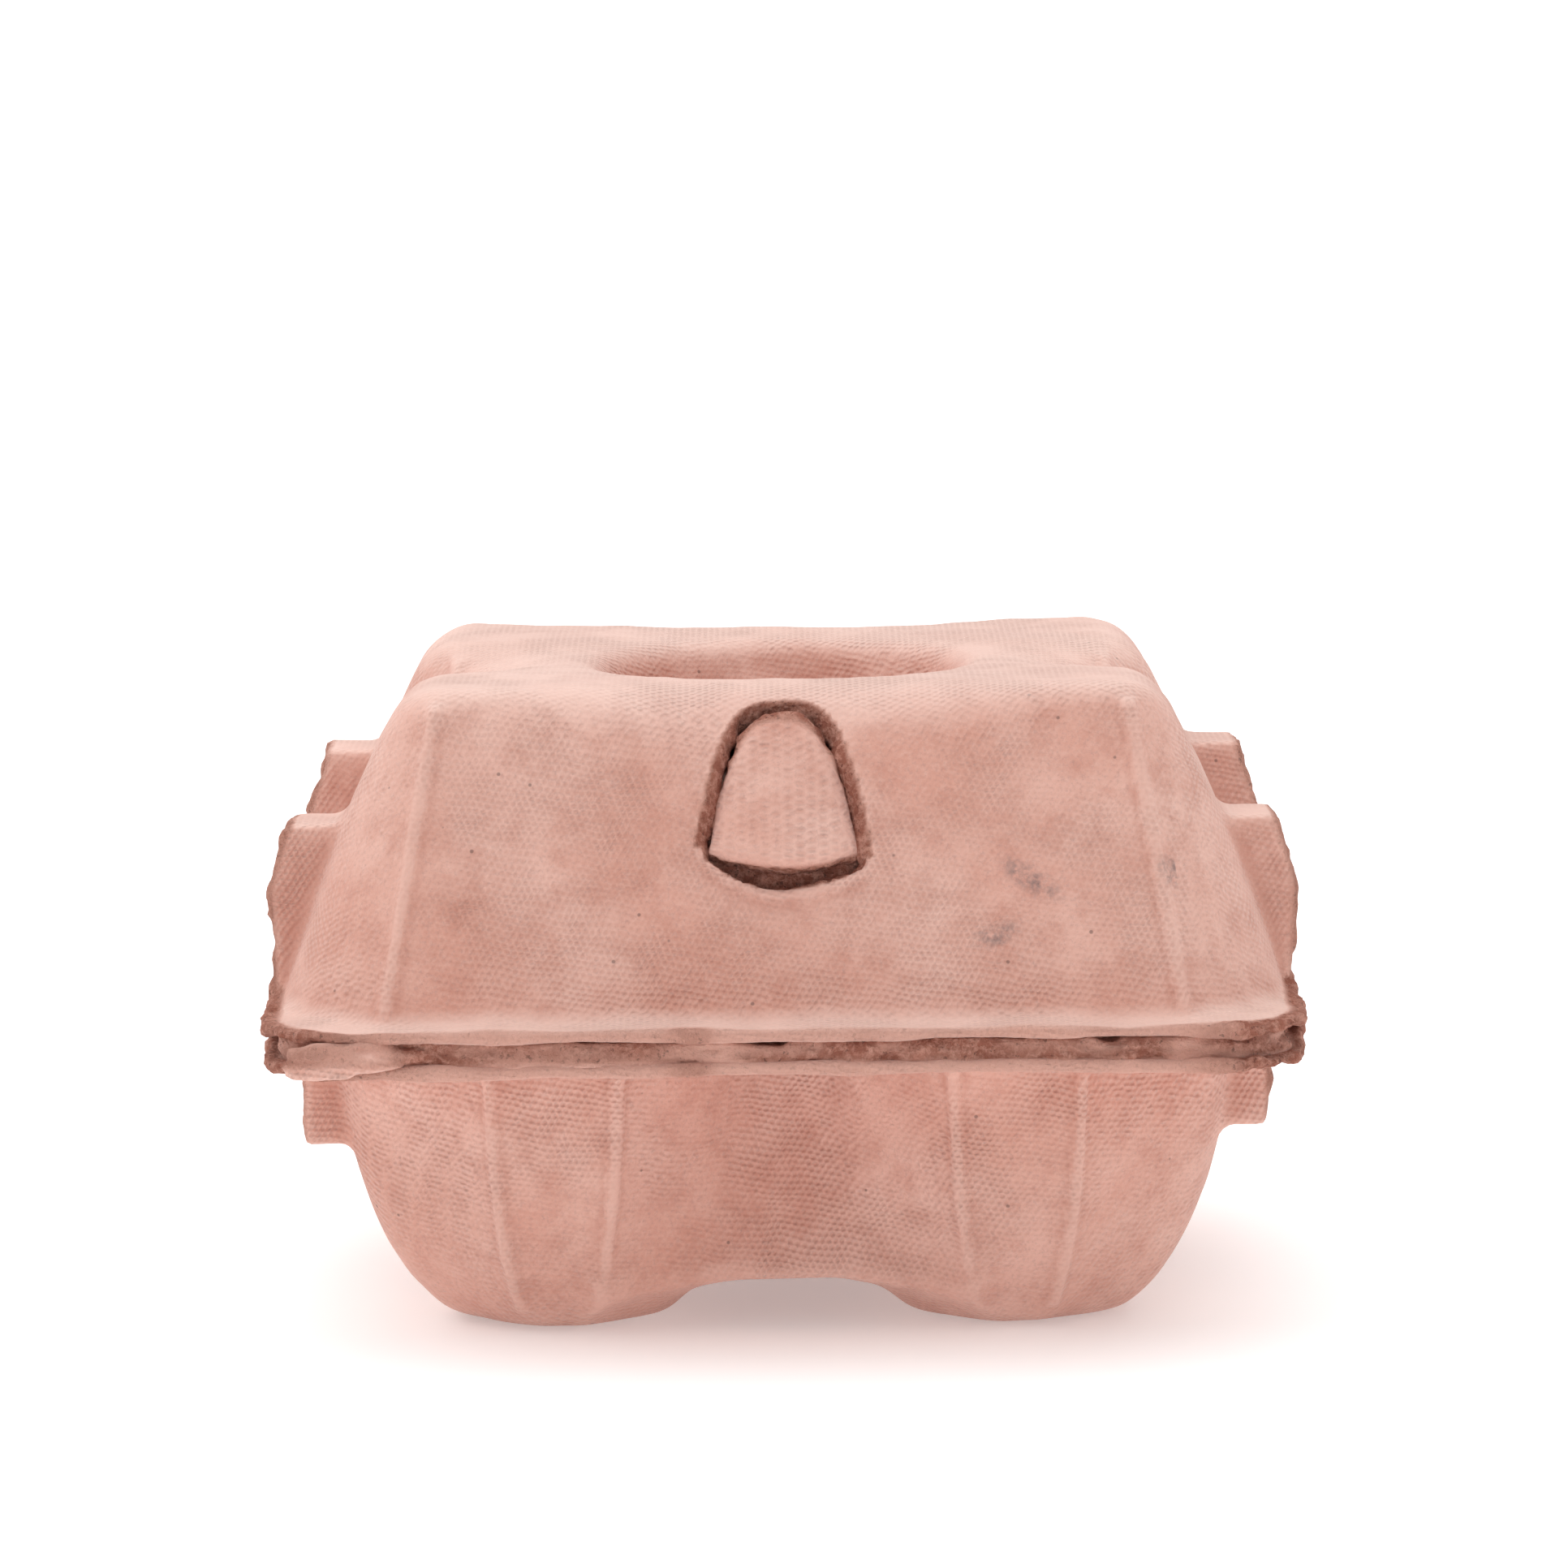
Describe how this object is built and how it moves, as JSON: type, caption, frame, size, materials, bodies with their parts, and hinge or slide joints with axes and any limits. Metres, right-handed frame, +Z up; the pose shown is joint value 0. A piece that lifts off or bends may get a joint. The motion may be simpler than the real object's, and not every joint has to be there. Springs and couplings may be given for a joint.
{
  "type": "egg carton",
  "caption": "Square moulded-pulp egg carton, closed, with a lid hinged at the rear, a round recess in its top and a sprung lock flap whose button holds the lid shut.",
  "frame": {"origin": "on the ground under the middle of the closed carton", "axes": "+Z up, +X to the right seen from the front, -Y towards the front, where the lock is"},
  "size_m": [0.1114, 0.11, 0.07],
  "materials": {
    "base_tray": "matte",
    "front_fold": "matte",
    "flap_crease": "matte",
    "lock_flap": "matte",
    "lock_button": "matte",
    "lid_hinge_web": "matte",
    "lid": "matte"
  },
  "bodies": {
    "tray": {"base_tray": "base_tray", "front_fold": "front_fold", "flap_crease": "flap_crease", "lid_hinge_web": "lid_hinge_web"},
    "lid": {"lid": "lid"},
    "flap": {"lock_flap": "lock_flap", "lock_button": "lock_button"}
  },
  "joints": [
    {"name": "lid_hinge", "type": "hinge", "parent": "tray", "child": "lid", "pos_m": [0, 0.0541, 0.0335], "axis": [-1, 0, 0], "range_deg": [0, 170], "deforming": ["lid_hinge_web", "lock_button"]},
    {"name": "flap_hinge", "type": "hinge", "parent": "tray", "child": "flap", "pos_m": [0, -0.0464, 0.0335], "axis": [-1, 0, 0], "range_deg": [0, 15], "stiffness_Nm_per_rad": 0.02, "springref_deg": -2.86, "deforming": ["flap_crease"]}
  ]
}
